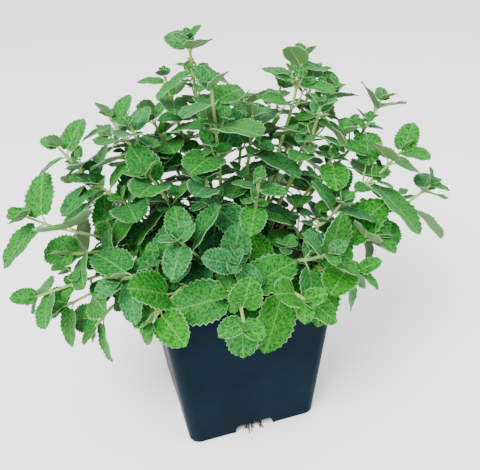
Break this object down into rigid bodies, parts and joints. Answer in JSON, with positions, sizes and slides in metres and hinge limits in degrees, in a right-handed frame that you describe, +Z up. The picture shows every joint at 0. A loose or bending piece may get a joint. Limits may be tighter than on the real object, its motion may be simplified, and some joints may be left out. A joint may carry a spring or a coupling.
{
  "type": "potted catmint",
  "caption": "Bushy young catmint with toothed leaves in opposite pairs, growing from soil in a tapered square nursery pot with drain arches.",
  "frame": {"origin": "centre of the pot's underside, on the surface it stands on", "axes": "+Z up, -Y is the pot's front face, +X to the right seen from the front"},
  "size_m": [0.2849, 0.2137, 0.2642],
  "materials": {
    "pot_plastic": "dark blue-green moulded plastic, satin",
    "potting_mix": "moist fibrous potting mix with white perlite grains",
    "foliage": "soft downy green leaves and pale green square stems"
  },
  "bodies": {
    "root": {"pot": "pot_plastic", "soil": "potting_mix", "leafy_stem_01": "foliage", "leafy_stem_02": "foliage", "leafy_stem_03": "foliage", "leafy_stem_04": "foliage", "leafy_stem_05": "foliage", "leafy_stem_06": "foliage", "leafy_stem_07": "foliage", "leafy_stem_08": "foliage", "leafy_stem_09": "foliage", "leafy_stem_10": "foliage", "leafy_stem_11": "foliage", "leafy_stem_12": "foliage", "leafy_stem_13": "foliage", "leafy_stem_14": "foliage", "leafy_stem_15": "foliage", "leafy_stem_16": "foliage", "leafy_stem_17": "foliage", "leafy_stem_18": "foliage", "leafy_stem_19": "foliage", "leafy_stem_20": "foliage", "leafy_stem_21": "foliage", "leafy_stem_22": "foliage", "leafy_stem_23": "foliage", "leafy_stem_24": "foliage", "leafy_stem_25": "foliage", "leafy_stem_26": "foliage", "leafy_stem_27": "foliage", "leafy_stem_28": "foliage", "leafy_stem_29": "foliage", "leafy_stem_30": "foliage", "leafy_stem_31": "foliage", "leafy_stem_32": "foliage", "leafy_stem_33": "foliage", "leafy_stem_34": "foliage", "leafy_stem_35": "foliage", "leafy_stem_36": "foliage", "leafy_stem_37": "foliage", "leafy_stem_38": "foliage", "leafy_stem_39": "foliage", "leafy_stem_40": "foliage", "leafy_stem_41": "foliage"}
  },
  "joints": []
}
